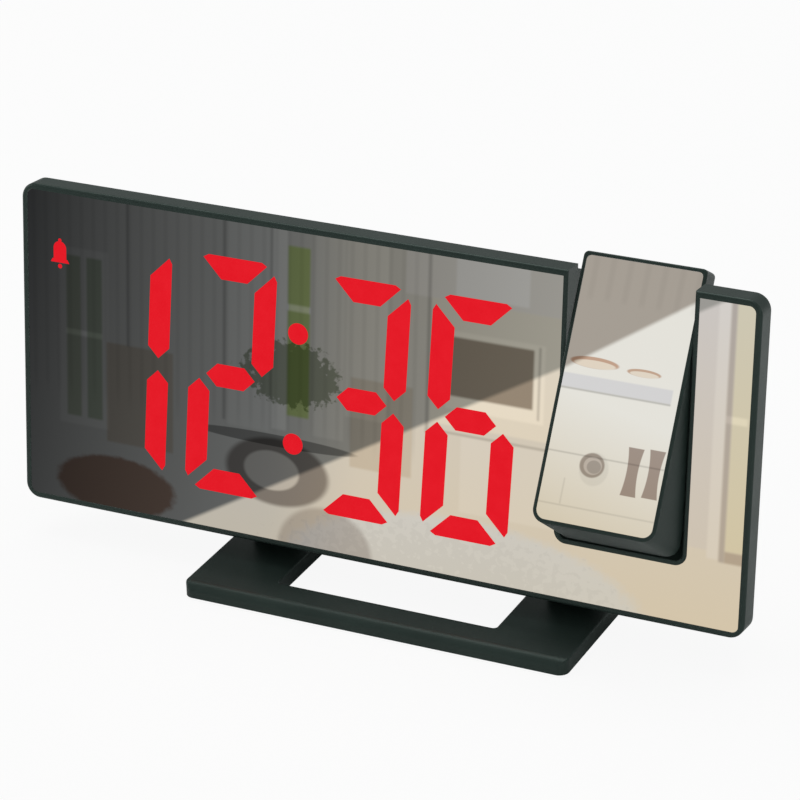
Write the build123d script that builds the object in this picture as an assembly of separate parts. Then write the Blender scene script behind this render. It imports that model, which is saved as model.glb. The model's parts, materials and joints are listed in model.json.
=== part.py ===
from build123d import *
import os
from math import cos, hypot, radians, sin, sqrt, tan

# A table clock with a mirrored front and a projector arm that folds into a pocket in its right-hand side.
#
# Every piece of the clock is drawn upright, in the clock's own frame: x runs to the right as its user sees it,
# y is the depth behind the front of its frame, and z is the height above its bottom edge. The projector arm is
# drawn closed in the same frame. At the end the arm is swung open, the clock leans back onto its stand, and the
# whole is moved so that the middle of its footprint is the origin. Sizes are millimetres and degrees.

# ------------------------------------------------------------------------------------------ clock body
BODY_W = 190.0            # width of the clock
BODY_H = 81.4             # height of its front
BAND_D = 5.9              # depth of the band round the mirror
BODY_R = 3.8              # corner radius of the band
EDGE_ROUND = 0.7          # rounding of the band's front edge
BEZEL = 1.5               # width of the band seen from the front
LEAN = 6.2                # the clock leans back this far
LIFT = 9.9                # height of its bottom front edge above the table

MIRROR_SET = 0.3          # the mirror lies this far behind the band's front
MIRROR_T = 1.5
MIRROR_R = 1.6
LEDGE = 1.0               # width of the ledge that the mirror is glued to
FIT = 0.05                # gap round a piece that is set into another

COVER_STEP = 1.8          # the rear cover stands in from the band
COVER_STRAIGHT = 2.0      # depth of its straight part
COVER_DRAFT = 25.0        # slope of its sides behind that
COVER_D = 23.0            # depth of its flat back, which sets how thick the arm is and how deep the display
COVER_R = 3.0
COVER_EDGE = 1.2
WALL = 2.0
LIP_T = 1.2               # locating lip of the cover, inside the band
LIP_L = 1.9
LIP_GAP = 0.1

# ------------------------------------------------------------------------------------------ projector arm
POCKET_SIDE = 31.25       # from the clock's right side to the middle of the pocket and of the arm
ARM_W = 30.0
ARM_GAP = 0.35            # between the arm and each cheek of the pocket
ARM_LEN = 62.7            # length of the arm's front
ARM_BACK_GAP = 1.4        # behind the folded arm, in front of the pocket's rear wall
ARM_LIP_T = 5.7           # thickness of its front shell, which stands above the lens deck
ARM_DECK = 8.4            # the lens deck lies this far below the top of the lip
ARM_SLANT = 5.9           # slope of its bottom end, longer at the back
ARM_OPEN = 24.7           # angle that it is swung open
ARM_BEZEL = 0.9
ARM_TOP_R = 1.2
ARM_BOTTOM_R = 3.2
ARM_WALL = 1.5
ARM_BACK_ROUND = 1.5
HINGE_Y = 10.2            # axis of the arm's hinge pins
HINGE_DROP = 18.1         # from the top of the clock down to the hinge
PIN_R = 2.0
PIN_FIT = 0.05            # running fit of the pins in the cheeks
SWEEP_GAP = 0.5           # between the arm's lowest edge and the pocket's floor
RIM = 1.1                 # rim of the pocket seen from the front
RIM_R = 3.0               # corner radius of the mirror's notch
RIM_BEVEL = 0.35
CHEEK_T = 3.0
POCKET_BACK_DROP = 15.3   # the rear wall ends this far below the hinge, and the arm's top swings out over it
WASHER_T = 1.2
CLIP_T = 0.6
BOSS_L = 3.0              # hinge boss inside the arm

# ------------------------------------------------------------------------------------------ arm's optics
RING_FRONT_GAP = 0.2      # between the focus ring and the raised lip of the front shell
RING_BACK_GAP = 0.1       # from the ring to the back of the arm
RING_LIFT = 0.1           # the ring turns this far above the deck
RING_H = 4.2
SLEEVE_L = 4.0            # the ring's sleeve, which reaches down through the deck
KNURLS = 28
KNURL_R = 0.45
TUBE_FIT = 0.1            # between the optics tube and the back of the arm
TUBE_WALL = 1.3
SLEEVE_IN = 0.6           # the sleeve is this much narrower than the tube
BARREL_WALL = 1.0
BARREL_UP = 0.9           # the barrel stands this far above the ring
BARREL_L = 16.0
LENS_REBATE = 0.4         # the lens is this much wider than the barrel's bore
TURN_FIT = 0.05
FOCUS_TRAVEL = 1.5        # the lens moves this far each way
LED_BOARD_UP = 5.3        # from the arm's bottom end to its LED board
BOARD_T = 1.6
HOLDER_H = 10.4
HOLDER_W = 16.0
CONDENSER_IN = 0.9        # the condenser is this much narrower than the tube
CONDENSER_SEAT = 6.0      # depth of the condenser's seat in its holder
CONDENSER_LEDGE = 1.2
LCD_T = 1.0
FLANGE_W = 14.0
FLANGE_T = 2.0
LED_BOARD_W = 24.0
TUBE_CLEAR = 2.1          # between the top of the tube and the end of the ring's sleeve
ARM_SCREW_RISE = 25.0     # between the lower and the upper screws of the arm

# ------------------------------------------------------------------------------------------ display
BOX_SIDE = 15.5           # from the clock's left side to the light box
BOX_BESIDE_CHEEK = 6.8    # from the light box to the pocket's cheek
BOX_LOW = 7.0
BOX_DROP = 5.9            # from the top of the clock down to the light box
DISPLAY_EDGE = (2.3, 2.0) # from the light box's sides to the outer digits
DIGIT_LOW = 3.9           # from the light box's lower edge to the digits
DIGIT_HIGH = 4.6
DIGIT_SPACE = 5.55        # between two digits
COLON_SPACE = 12.3        # between the hours and the minutes
STROKE = 5.8
DIGIT_SLANT = 2.2
MITRE_GAP = 2.0           # between two segments at a corner
TIP_GAP = 1.55            # from a digit's waist to the tips of its segments
WAIST_GAP = 1.85          # from the middle segment's tips to the side segments' middle lines
TIP_CUT = 0.8
TIP_RUN = 1.4
DOT_R = 2.65
DOT_RISE = 13.95
BELL_SIDE = 5.1           # from the light box to the alarm sign beside it
BELL_DROP = 16.7          # from the top of the clock down to the alarm sign
BELL_W = 5.2
LIT = ("bc", "abged", "abgcd", "afgecd")   # lit segments of each digit, which together read 12:36
FILM_T = 0.25
BELL_EAR = (9.0, 11.5)    # part of the light box behind the alarm sign
CAVITY_DRAFT = 8.0
LED_SIZE = 2.0
LED_T = 0.9

# ------------------------------------------------------------------------------------------ inside and on the back
SCREW_SIDE = (9.0, 8.0)   # from the clock's left and right sides to the cover's screws
SCREW_BESIDE_CHEEK = 3.0
SCREW_UP = 7.0            # from the bottom and from the top of the clock to the cover's screws
SCREW_R = 1.15
SCREW_HEAD_R = 2.3
SCREW_HEAD_H = 1.5
SEAT_T = 2.4              # thickness of the cover under the screws' heads
HOLE_GAP = 0.05
POST_R = 2.4
POST_END = 8.0
GUSSET_T = 2.4

BATTERY_SIDE = 29.0       # from the clock's left side to the middle of the battery bay
CELL_R = 5.25
CELL_L = 43.4
CELL_NUB = 1.1
CELL_NUB_R = 1.9
CELL_FIT = 0.15           # in front of and behind the cells
CELL_SIDE_FIT = 0.2       # from the bay's middle to each cell
BAY_SIDE_GAP = 0.55       # from each cell to the bay's side wall
BAY_GAP = 0.4             # between the display board and the bay's floor
BAY_WALL = 1.2
BAY_Z = 13.5
CONTACT_T = 0.4
CONTACT_ROOM = 1.75       # for the contacts at each end of the cells
DOOR_LAP = 0.75           # the door is this much wider than the bay on each side
DOOR_RISE = 1.5           # and this much higher
DOOR_TONGUE = 0.8
DOOR_GAP = 0.15
GRIP_COUNT = 5

BUTTON_NAMES = ("mode", "up", "down", "alarm", "projector")
BUTTON_EDGE = (9.0, 13.0) # from the main board's ends to the first and the last button
BUTTON_UP = 11.0          # from the main board's lower edge to the buttons
BUTTON_SPACE = 5.0        # between two buttons
BUTTON_H = 5.5
BUTTON_R = 1.6
BUTTON_PROUD = 1.0
BUTTON_GAP = 0.2
BUTTON_FLANGE = 1.0
BUTTON_BACKLASH = 0.1     # in front of a button's flange and behind it
BUTTON_TRAVEL = 0.6
BOARD_BESIDE_BAY = 8.55
BOARD_BESIDE_CHEEK = 12.4
BOARD_DROP = 11.9         # from the top of the clock down to the main board
BOARD_H = 20.5
BOARD_SCREW_IN = 3.5
SWITCH_SIZE = 6.0
SWITCH_T = 2.6
PLUNGER_R = 1.75
PLUNGER_L = 0.6
CHIP_SIZE = (10.0, 7.0)
CHIP_IN = (15.0, 17.0)    # from the main board's ends to its chips
CHIP_T = 1.5
CONNECTOR_L = 16.0
CONNECTOR_H = 4.0
CONNECTOR_SHIFT = 1.0
RIB_Z = (30.0, 7.0, 12.0) # heights of the ribs, the middle one measured down from the main board
RIB_MIDDLE = 3.0
RIB_BESIDE_BOARD = 3.5
RIB_BESIDE_CHEEK = 10.4
RIB_R = 2.0

SOCKET_BESIDE_CHEEK = 21.4
SOCKET_Z = 28.0
SOCKET_SIZE = 9.0
SOCKET_L = 10.5
SOCKET_NOSE_R = 3.6
SOCKET_BORE_R = 2.75
SOCKET_PIN_R = 0.65
BUZZER_X = -10.0
BUZZER_Z = 28.0
BUZZER_R = 7.5
BUZZER_T = 5.5
SOUND_HOLE_R = 0.75
SOUND_RING = 3.4

# ------------------------------------------------------------------------------------------ stand, in the table frame
STAND_X = 7.7             # middle of the stand, which stands a little towards the projector's side
STAND_W = 100.0
STAND_FRONT = -15.9
STAND_BACK = 28.0
STAND_T = 3.8
STAND_ROUND = 2.4         # large rounding of its front edge
STAND_R = 2.5
STAND_EDGE = 0.5
FRONT_BAR = 8.7
REAR_BAR = 9.0
WINDOW_W = 57.3
WINDOW_R = 1.0
STEM_W = 12.0
STEM_Y = 12.7             # front of the stems, in the clock's frame
STEM_T = 6.0
STEM_TOP = 12.2
STEM_ROOT = -5.0
SOCKET_WALL = 1.6
STEM_GAP = 0.1
FOOT_T = 1.1
FOOT_PROUD = 0.5
FOOT_SIZE = (12.0, 5.0)
FOOT_INSET = 1.2

# ------------------------------------------------------------------------------------------ worked-out sizes
COVER_IN = COVER_D - WALL                            # inner face of the back wall
STRAIGHT_END = BAND_D + COVER_STRAIGHT
SLOPE = tan(radians(COVER_DRAFT))
POCKET_W = ARM_W + 2 * ARM_GAP
POCKET_X = BODY_W / 2 - POCKET_SIDE
CHEEK_X = POCKET_W / 2 + CHEEK_T                     # outer face of a cheek, from the pocket's middle
CHEEK_LEFT = POCKET_X - CHEEK_X
HINGE_Z = BODY_H - HINGE_DROP
POCKET_BACK_TOP = HINGE_Z - POCKET_BACK_DROP
ARM_T = COVER_IN - ARM_BACK_GAP
ARM_TOP = BODY_H                                     # closed, the arm is flush with the top of the band
ARM_BOTTOM = ARM_TOP - ARM_LEN
DECK_Z = ARM_TOP - ARM_DECK
ARM_BOTTOM_BACK = ARM_BOTTOM - ARM_T * tan(radians(ARM_SLANT))
SWEEP_R = hypot(HINGE_Z - ARM_BOTTOM_BACK, ARM_T - HINGE_Y) + SWEEP_GAP
POCKET_Z = HINGE_Z - sqrt(SWEEP_R**2 - HINGE_Y**2)   # height of the pocket's floor at the front
SCREW_X = (SCREW_SIDE[0] - BODY_W / 2, CHEEK_LEFT - SCREW_BESIDE_CHEEK, BODY_W / 2 - SCREW_SIDE[1])
SCREW_Z = (SCREW_UP, BODY_H - SCREW_UP)
SCREW_SEAT = POST_END + SEAT_T                       # depth at which the cover screws' heads seat

CELL_Y = COVER_IN - CELL_FIT - CELL_R
BAY_FLOOR = CELL_Y - CELL_R - CELL_FIT - BAY_WALL    # front of the bay's floor
BAY_W = 4 * CELL_R + 2 * (CELL_SIDE_FIT + BAY_SIDE_GAP)
BAY_L = CELL_L + CELL_NUB + 2 * CONTACT_ROOM
BATTERY_X = BATTERY_SIDE - BODY_W / 2
DOOR_W = BAY_W + 2 * DOOR_LAP
DOOR_TOP = BAY_Z + BAY_L + DOOR_RISE

MIRROR_BACK = MIRROR_SET + MIRROR_T
LIGHT_BOX_FRONT = MIRROR_BACK + FILM_T
DISPLAY_BOARD_BACK = BAY_FLOOR - BAY_GAP
LIGHT_BOX_BACK = DISPLAY_BOARD_BACK - BOARD_T
LIGHT_BOX_LEFT = BOX_SIDE - BODY_W / 2
LIGHT_BOX_RIGHT = CHEEK_LEFT - BOX_BESIDE_CHEEK
LIGHT_BOX_LOW = BOX_LOW
LIGHT_BOX_HIGH = BODY_H - BOX_DROP
BELL_X = LIGHT_BOX_LEFT - BELL_SIDE
BELL_Z = BODY_H - BELL_DROP
DIGITS_W = LIGHT_BOX_RIGHT - LIGHT_BOX_LEFT - sum(DISPLAY_EDGE)
DIGIT_W = (DIGITS_W - 2 * DIGIT_SPACE - COLON_SPACE) / 4
DIGIT_H = LIGHT_BOX_HIGH - LIGHT_BOX_LOW - DIGIT_LOW - DIGIT_HIGH
DIGIT_Z = LIGHT_BOX_LOW + DIGIT_LOW + DIGIT_H / 2    # middle of the digits
DIGIT_PITCH = DIGIT_W + DIGIT_SPACE
COLON_GAP = (DIGIT_W + COLON_SPACE) / 2              # from the colon to the middle of the digits beside it
COLON_X = LIGHT_BOX_LEFT + DISPLAY_EDGE[0] + DIGITS_W / 2
DIGIT_X = (COLON_X - COLON_GAP - DIGIT_PITCH, COLON_X - COLON_GAP,
           COLON_X + COLON_GAP, COLON_X + COLON_GAP + DIGIT_PITCH)
DIGIT_NAMES = ("digit_hour_tens", "digit_hour_units", "digit_minute_tens", "digit_minute_units")

MAIN_BOARD_X = (BATTERY_X + BAY_W / 2 + BAY_WALL + BOARD_BESIDE_BAY, CHEEK_LEFT - BOARD_BESIDE_CHEEK)
MAIN_BOARD_Z = (BODY_H - BOARD_DROP - BOARD_H, BODY_H - BOARD_DROP)
SWITCH_ROOM = SWITCH_T + PLUNGER_L + BUTTON_TRAVEL + BUTTON_FLANGE + 2 * BUTTON_BACKLASH
MAIN_BOARD_BACK = COVER_IN - SWITCH_ROOM
MAIN_BOARD_FRONT = MAIN_BOARD_BACK - BOARD_T
BUTTON_X = MAIN_BOARD_X[0] + BUTTON_EDGE[0]          # first button
BUTTON_PITCH = (MAIN_BOARD_X[1] - BUTTON_EDGE[1] - BUTTON_X) / (len(BUTTON_NAMES) - 1)
BUTTON_W = BUTTON_PITCH - BUTTON_SPACE
BUTTON_Z = MAIN_BOARD_Z[0] + BUTTON_UP
BOARD_SCREWS = ((MAIN_BOARD_X[0] + BOARD_SCREW_IN, MAIN_BOARD_Z[1] - BOARD_SCREW_IN),
                (MAIN_BOARD_X[1] - BOARD_SCREW_IN, MAIN_BOARD_Z[1] - BOARD_SCREW_IN),
                (BUTTON_X + 2 * BUTTON_PITCH, MAIN_BOARD_Z[0] + POST_R + BUTTON_TRAVEL))
RIBS = ((MAIN_BOARD_X[0] - RIB_BESIDE_BOARD, RIB_Z[0]), (RIB_MIDDLE, MAIN_BOARD_Z[0] - RIB_Z[1]),
        (CHEEK_LEFT - RIB_BESIDE_CHEEK, RIB_Z[2]))
SOCKET_X = CHEEK_LEFT - SOCKET_BESIDE_CHEEK

RING_R = (ARM_T - ARM_LIP_T - RING_FRONT_GAP - RING_BACK_GAP) / 2
AXIS_Y = ARM_LIP_T + RING_FRONT_GAP + RING_R         # optical axis
RING_Z = DECK_Z + RING_LIFT
TUBE_R = ARM_T - ARM_WALL - TUBE_FIT - AXIS_Y
SLEEVE_R = TUBE_R - SLEEVE_IN
BARREL_R = TUBE_R - TUBE_WALL
BARREL_BORE = BARREL_R - BARREL_WALL
BARREL_TOP = RING_Z + RING_H + BARREL_UP
LENS_R = BARREL_BORE + LENS_REBATE
LED_BOARD_Z = ARM_BOTTOM + LED_BOARD_UP
HOLDER_Z = LED_BOARD_Z + BOARD_T
CONDENSER_R = TUBE_R - CONDENSER_IN
HOLDER_BORE = CONDENSER_R - CONDENSER_LEDGE
LED_BASE = HOLDER_BORE - CONDENSER_LEDGE             # half the width of the projector's LED
LCD_Z = HOLDER_Z + HOLDER_H
TUBE_Z = LCD_Z + LCD_T
TUBE_TOP = RING_Z - SLEEVE_L - TUBE_CLEAR
STEM_OFFSET = (STAND_W + WINDOW_W) / 4               # from the stand's middle to the middle of each stem
BIG = 200.0


# ------------------------------------------------------------------------------------------ drawing helpers
def at_depth(y):
    """Drawing plane that faces the user at depth y: its x and y are the clock's x and z."""
    return Plane.XZ.offset(-y)


def slab(sketch, front, back, taper=0.0):
    """The sketch, as seen from the front, made solid between two depths."""
    return extrude(at_depth(front) * sketch, amount=front - back, taper=taper)


def block(x, y, z):
    """A box from its lowest and highest x, y and z."""
    size = [high - low for low, high in (x, y, z)]
    middle = [(high + low) / 2 for low, high in (x, y, z)]
    return Pos(*middle) * Box(*size)


def rod(x, z, radius, front, back):
    """A round bar along y."""
    return Pos(x, (front + back) / 2, z) * Rot(90, 0, 0) * Cylinder(radius, back - front)


def cross_rod(x_low, x_high, y, z, radius):
    """A round bar along x."""
    return Pos((x_low + x_high) / 2, y, z) * Rot(0, 90, 0) * Cylinder(radius, x_high - x_low)


def tube_up(radius, low, high, x=POCKET_X, y=AXIS_Y):
    """A round bar along z, on the optical axis unless told otherwise."""
    return Pos(x, y, (low + high) / 2) * Cylinder(radius, high - low)


def group(solids):
    """Separate solids kept together as one piece."""
    return Compound([one.solids()[0] for one in solids])


# ------------------------------------------------------------------------------------------ outlines of the body
def board(inset, radius):
    return Pos(0, BODY_H / 2) * RectangleRounded(BODY_W - 2 * inset, BODY_H - 2 * inset, radius)


def notch(margin, radius):
    """The arm's U-shaped place in the front, widened all round by a margin and open at the top."""
    low = POCKET_Z - margin
    high = BODY_H + 4 * radius
    return Pos(POCKET_X, (low + high) / 2) * RectangleRounded(POCKET_W + 2 * margin, high - low, radius)


def mirror_outline(grow=0.0):
    return board(BEZEL - grow, MIRROR_R + grow) - notch(RIM - grow, RIM_R - grow)


def opening_outline(inset=0.0):
    """What is open behind the mirror, inside its ledge."""
    margin = LEDGE + inset
    return board(BEZEL + margin, MIRROR_R) - notch(RIM + margin, RIM_R + margin)


def pocket_void():
    """The space of the folded arm. Its floor is concentric with the hinge, so that the arm clears it as it turns."""
    left, right = POCKET_X - POCKET_W / 2, POCKET_X + POCKET_W / 2
    floor = cross_rod(left, right, HINGE_Y, HINGE_Z, SWEEP_R)
    lower = floor & block((left, right), (-BODY_R, COVER_IN), (0, HINGE_Z))
    corners = [edge for edge in lower.edges() if edge.geom_type == GeomType.CIRCLE and edge.center().Z < HINGE_Z / 2]
    lower = fillet(corners, RIM_R - RIM)
    upper = block((left, right), (-BODY_R, COVER_D + BODY_R), (POCKET_BACK_TOP, BODY_H + BODY_R))
    return lower + upper


# ------------------------------------------------------------------------------------------ front of the clock
def screw_places():
    return [(x, z) for x in SCREW_X for z in SCREW_Z]


def front_frame():
    band = slab(board(0, BODY_R), 0, BAND_D)
    band = fillet(band.edges().group_by(Axis.Y)[0], EDGE_ROUND)
    band -= pocket_void()
    band -= slab(notch(RIM_BEVEL, RIM_R - RIM + RIM_BEVEL), 0, RIM_BEVEL, 45)
    band -= slab(mirror_outline(FIT), -EDGE_ROUND, MIRROR_BACK)
    band -= slab(opening_outline(), 0, BAND_D)
    for x, z in screw_places():
        edge = BEZEL + LEDGE / 2
        reach = (edge, z) if z < BODY_H / 2 else (z, BODY_H - edge)
        gusset_end = BAND_D - LIP_L - LIP_GAP
        post = rod(x, z, POST_R, MIRROR_BACK, POST_END)
        post += block((x - GUSSET_T / 2, x + GUSSET_T / 2), (MIRROR_BACK, gusset_end), reach)
        post -= rod(x, z, SCREW_R + HOLE_GAP, MIRROR_BACK + 1.0, POST_END)
        band += post
    return band


def segment(name):
    """Outline of one of a digit's seven segments, about the digit's middle."""
    a, b, s = DIGIT_W / 2, DIGIT_H / 2, STROKE
    if name in "ad":
        end = a - MITRE_GAP
        points = [(end - TIP_CUT - TIP_RUN, b), (end - TIP_CUT, b - TIP_CUT), (end - s, b - s)]
        points += [(-x, y) for x, y in reversed(points)]
    elif name in "bcef":
        end = b - MITRE_GAP
        points = [(a - s, end - s), (a - TIP_CUT, end - TIP_CUT), (a, end - TIP_CUT - TIP_RUN)]
        points += [(a, TIP_GAP + s / 2), (a - s / 2, TIP_GAP), (a - s, TIP_GAP + s / 2)]
    else:
        tip = a - s / 2 - WAIST_GAP
        points = [(tip, 0), (tip - s / 2, s / 2), (s / 2 - tip, s / 2)]
        points += [(-x, -y) for x, y in points]
    across = -1 if name in "ef" else 1
    down = -1 if name in "cde" else 1
    lean = tan(radians(DIGIT_SLANT))
    corners = [(across * x + down * y * lean, down * y) for x, y in points]
    if across * down > 0 and name != "g":
        corners.reverse()                            # every outline runs counter-clockwise
    return Polygon(*corners, align=None)


def segment_at(name, digit_x):
    return Pos(digit_x, DIGIT_Z) * segment(name)


def colon_sketch():
    shift = DOT_RISE * tan(radians(DIGIT_SLANT))
    return [Pos(COLON_X + side * shift, DIGIT_Z + side * DOT_RISE) * Circle(DOT_R) for side in (1, -1)]


def bell_sketch():
    """A plain bell: a dome on a flared rim, with its clapper below."""
    dome = Pos(0, 0.25 * BELL_W) * Circle(0.34 * BELL_W) + Pos(0, -0.02 * BELL_W) * Rectangle(0.68 * BELL_W, 0.54 * BELL_W)
    rim = Pos(0, -0.36 * BELL_W) * Trapezoid(BELL_W, 0.18 * BELL_W, 60)
    knob = Pos(0, 0.64 * BELL_W) * Circle(0.09 * BELL_W)
    clapper = Pos(0, -0.62 * BELL_W) * Circle(0.11 * BELL_W)
    return Pos(BELL_X, BELL_Z) * (dome + rim + knob + clapper)


def lit_segments(index):
    return [segment_at(name, DIGIT_X[index]) for name in LIT[index]]


def mirror_panel():
    panel = slab(mirror_outline(), MIRROR_SET, MIRROR_BACK)
    windows = [outline for index in range(len(LIT)) for outline in lit_segments(index)]
    windows += colon_sketch() + [bell_sketch()]
    for window in windows:
        panel -= slab(window, MIRROR_SET, MIRROR_BACK)
    return panel


def digit(index):
    return group([slab(outline, MIRROR_SET, MIRROR_BACK) for outline in lit_segments(index)])


def colon_dots():
    return group([slab(dot, MIRROR_SET, MIRROR_BACK) for dot in colon_sketch()])


def alarm_indicator():
    return Compound(slab(bell_sketch(), MIRROR_SET, MIRROR_BACK).solids())


# ------------------------------------------------------------------------------------------ light box and its board
def display_outline():
    width, height = LIGHT_BOX_RIGHT - LIGHT_BOX_LEFT, LIGHT_BOX_HIGH - LIGHT_BOX_LOW
    middle = (LIGHT_BOX_LEFT + width / 2, LIGHT_BOX_LOW + height / 2)
    ear_w, ear_h = BELL_EAR
    ear = Pos(LIGHT_BOX_LEFT - ear_w / 2, BELL_Z) * Rectangle(ear_w, ear_h)
    return Pos(*middle) * Rectangle(width, height) + ear


def diffuser_film():
    return slab(display_outline(), MIRROR_BACK, LIGHT_BOX_FRONT)


def light_box():
    """White moulding with a cavity for every segment, narrower at the LED's end."""
    box = slab(display_outline(), LIGHT_BOX_FRONT, LIGHT_BOX_BACK)
    for x in DIGIT_X:
        for name in "abcdefg":
            box -= slab(segment_at(name, x), LIGHT_BOX_FRONT, LIGHT_BOX_BACK, CAVITY_DRAFT)
    for dot in colon_sketch():
        box -= slab(dot, LIGHT_BOX_FRONT, LIGHT_BOX_BACK, CAVITY_DRAFT)
    return box - slab(Pos(BELL_X, BELL_Z) * Rectangle(BELL_W, 1.4 * BELL_W), LIGHT_BOX_FRONT, LIGHT_BOX_BACK)


def led_places():
    """Middle of each segment, of the colon's dots and of the alarm sign."""
    places = [segment_at(name, x).center() for x in DIGIT_X for name in "abcdefg"]
    places += [dot.center() for dot in colon_sketch()]
    return [(place.X, place.Y) for place in places] + [(BELL_X, BELL_Z)]


def segment_leds():
    chip = Rectangle(LED_SIZE, LED_SIZE)
    return group([slab(Pos(x, z) * chip, LIGHT_BOX_BACK - LED_T, LIGHT_BOX_BACK) for x, z in led_places()])


def display_board():
    return slab(display_outline(), LIGHT_BOX_BACK, DISPLAY_BOARD_BACK)


# ------------------------------------------------------------------------------------------ rear cover
def cover_inset(y):
    return COVER_STEP + max(0.0, y - STRAIGHT_END) * SLOPE


def cover_solid(inset, back):
    """The rear cover's shape: straight behind the band, then sloping in to its flat back."""
    wall = inset / cos(radians(COVER_DRAFT))
    straight = slab(board(COVER_STEP + inset, COVER_R), BAND_D, STRAIGHT_END)
    near = at_depth(STRAIGHT_END) * board(COVER_STEP + inset, COVER_R)
    far = at_depth(back) * board(cover_inset(back) + wall, COVER_R)
    return straight + loft(Sketch() + [near, far], ruled=True)


def cover_outside():
    outside = cover_solid(0, COVER_D)
    return fillet(outside.edges().group_by(Axis.Y)[-1], COVER_EDGE)


def door_slot(outside):
    """Where the battery door slides: a wide groove under a narrower slot, open at the bottom."""
    half = DOOR_W / 2 + DOOR_GAP
    middle = COVER_IN + WALL / 2
    z = (-BODY_R, DOOR_TOP + DOOR_GAP)
    narrow = block((BATTERY_X - half, BATTERY_X + half), (COVER_IN, COVER_D + 1), z)
    half += DOOR_TONGUE
    return narrow + block((BATTERY_X - half, BATTERY_X + half), (COVER_IN, middle), z)


def button_places():
    return [(BUTTON_X + index * BUTTON_PITCH, BUTTON_Z) for index in range(len(BUTTON_NAMES))]


def sound_holes():
    return [(BUZZER_X, BUZZER_Z)] + [(BUZZER_X + place.position.X, BUZZER_Z + place.position.Y)
                                     for place in PolarLocations(SOUND_RING, 6)]


def stem_places():
    return [STAND_X - STEM_OFFSET, STAND_X + STEM_OFFSET]


def rear_cover():
    outside = cover_outside()
    cover = outside - cover_solid(WALL, COVER_IN)
    lip = opening_outline(LIP_GAP) - opening_outline(LIP_GAP + LIP_T)
    cover += slab(lip, BAND_D - LIP_L, BAND_D + LIP_GAP)

    # the pocket's cheeks, floor and rear wall
    tub = block((POCKET_X - CHEEK_X, POCKET_X + CHEEK_X), (BAND_D, COVER_D), (HINGE_Z - SWEEP_R - WALL, BODY_H))
    cover += tub & outside

    # the battery bay, which stands on the sloping bottom wall
    half = BAY_W / 2
    bay = block((BATTERY_X - half - BAY_WALL, BATTERY_X + half + BAY_WALL), (BAY_FLOOR, COVER_IN),
                (0, BAY_Z + BAY_L + BAY_WALL))
    cover += bay & outside

    # sockets for the stand's stems
    for x in stem_places():
        wide = STEM_W / 2 + STEM_GAP + SOCKET_WALL
        deep = STEM_GAP + SOCKET_WALL
        socket = block((x - wide, x + wide), (STEM_Y - deep, STEM_Y + STEM_T + deep), (0, STEM_TOP + SOCKET_WALL / 2))
        cover += socket & outside

    # bosses for the screws that hold the cover to the front, and those that hold the main board
    for x, z in screw_places():
        cover += rod(x, z, SCREW_HEAD_R + WALL / 2, POST_END, COVER_D) & outside
    for x, z in BOARD_SCREWS:
        cover += rod(x, z, POST_R, MAIN_BOARD_BACK, COVER_IN + WALL / 2)
    for x, z in RIBS:
        cover += rod(x, z, RIB_R, DISPLAY_BOARD_BACK, COVER_IN + WALL / 2)

    cover -= pocket_void()
    cover -= block((BATTERY_X - half, BATTERY_X + half), (BAY_FLOOR + BAY_WALL, COVER_D), (BAY_Z, BAY_Z + BAY_L))
    cover -= door_slot(outside)
    for x in stem_places():
        wide = STEM_W / 2 + STEM_GAP
        cover -= block((x - wide, x + wide), (STEM_Y - STEM_GAP, STEM_Y + STEM_T + STEM_GAP), (-BODY_R, STEM_TOP))
    for x, z in screw_places():
        cover -= rod(x, z, SCREW_R + HOLE_GAP, POST_END, COVER_D)
        cover -= rod(x, z, SCREW_HEAD_R + 2 * HOLE_GAP, SCREW_SEAT, COVER_D + 1)
    for x, z in BOARD_SCREWS:
        cover -= rod(x, z, SCREW_R + HOLE_GAP, MAIN_BOARD_BACK, COVER_IN - 1)
    for x, z in button_places():
        hole = RectangleRounded(BUTTON_W + 2 * BUTTON_GAP, BUTTON_H + 2 * BUTTON_GAP, BUTTON_R + BUTTON_GAP)
        cover -= slab(Pos(x, z) * hole, COVER_IN, COVER_D)
    for x, z in sound_holes():
        cover -= rod(x, z, SOUND_HOLE_R, COVER_IN, COVER_D)
    cover -= rod(SOCKET_X, SOCKET_Z, SOCKET_NOSE_R + FIT, COVER_IN, COVER_D)
    for side in (-1, 1):
        inner = POCKET_X + side * POCKET_W / 2
        outer = POCKET_X + side * (CHEEK_X + WALL)
        cover -= cross_rod(min(inner, outer), max(inner, outer), HINGE_Y, HINGE_Z, PIN_R + PIN_FIT)
    return cover


def screw(x, z, seat, tip, head=1):
    """A pan-head screw along y. Its head is behind the seat, or in front of it for head = -1."""
    low, high = sorted((seat, tip))
    shank = rod(x, z, SCREW_R, low, high)
    low, high = sorted((seat, seat + head * SCREW_HEAD_H))
    cap = rod(x, z, SCREW_HEAD_R, low, high)
    top = seat + head * SCREW_HEAD_H
    low, high = sorted((top, top - head * SCREW_HEAD_H / 2))
    for angle in (0, 90):
        cap -= Pos(x, (low + high) / 2, z) * Rot(0, angle, 0) * Box(SCREW_HEAD_R * 1.3, high - low, 0.5)
    return shank + cap


def cover_screws():
    return group([screw(x, z, SCREW_SEAT, MIRROR_BACK + 1.6) for x, z in screw_places()])


def battery_door():
    """A plate with a tongue along each side, cut off at the bottom by the cover's own slope."""
    half = DOOR_W / 2
    middle = COVER_IN + WALL / 2
    plate = block((BATTERY_X - half, BATTERY_X + half), (middle - DOOR_GAP, COVER_D), (0, DOOR_TOP))
    half += DOOR_TONGUE
    plate += block((BATTERY_X - half, BATTERY_X + half), (COVER_IN + FIT, middle - DOOR_GAP), (0, DOOR_TOP))
    plate = plate & cover_outside()
    for index in range(GRIP_COUNT):
        z = BAY_Z + 2 + 2 * index
        plate -= block((BATTERY_X - DOOR_W / 4, BATTERY_X + DOOR_W / 4), (COVER_D - 0.5, COVER_D), (z, z + 1))
    return plate


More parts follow.
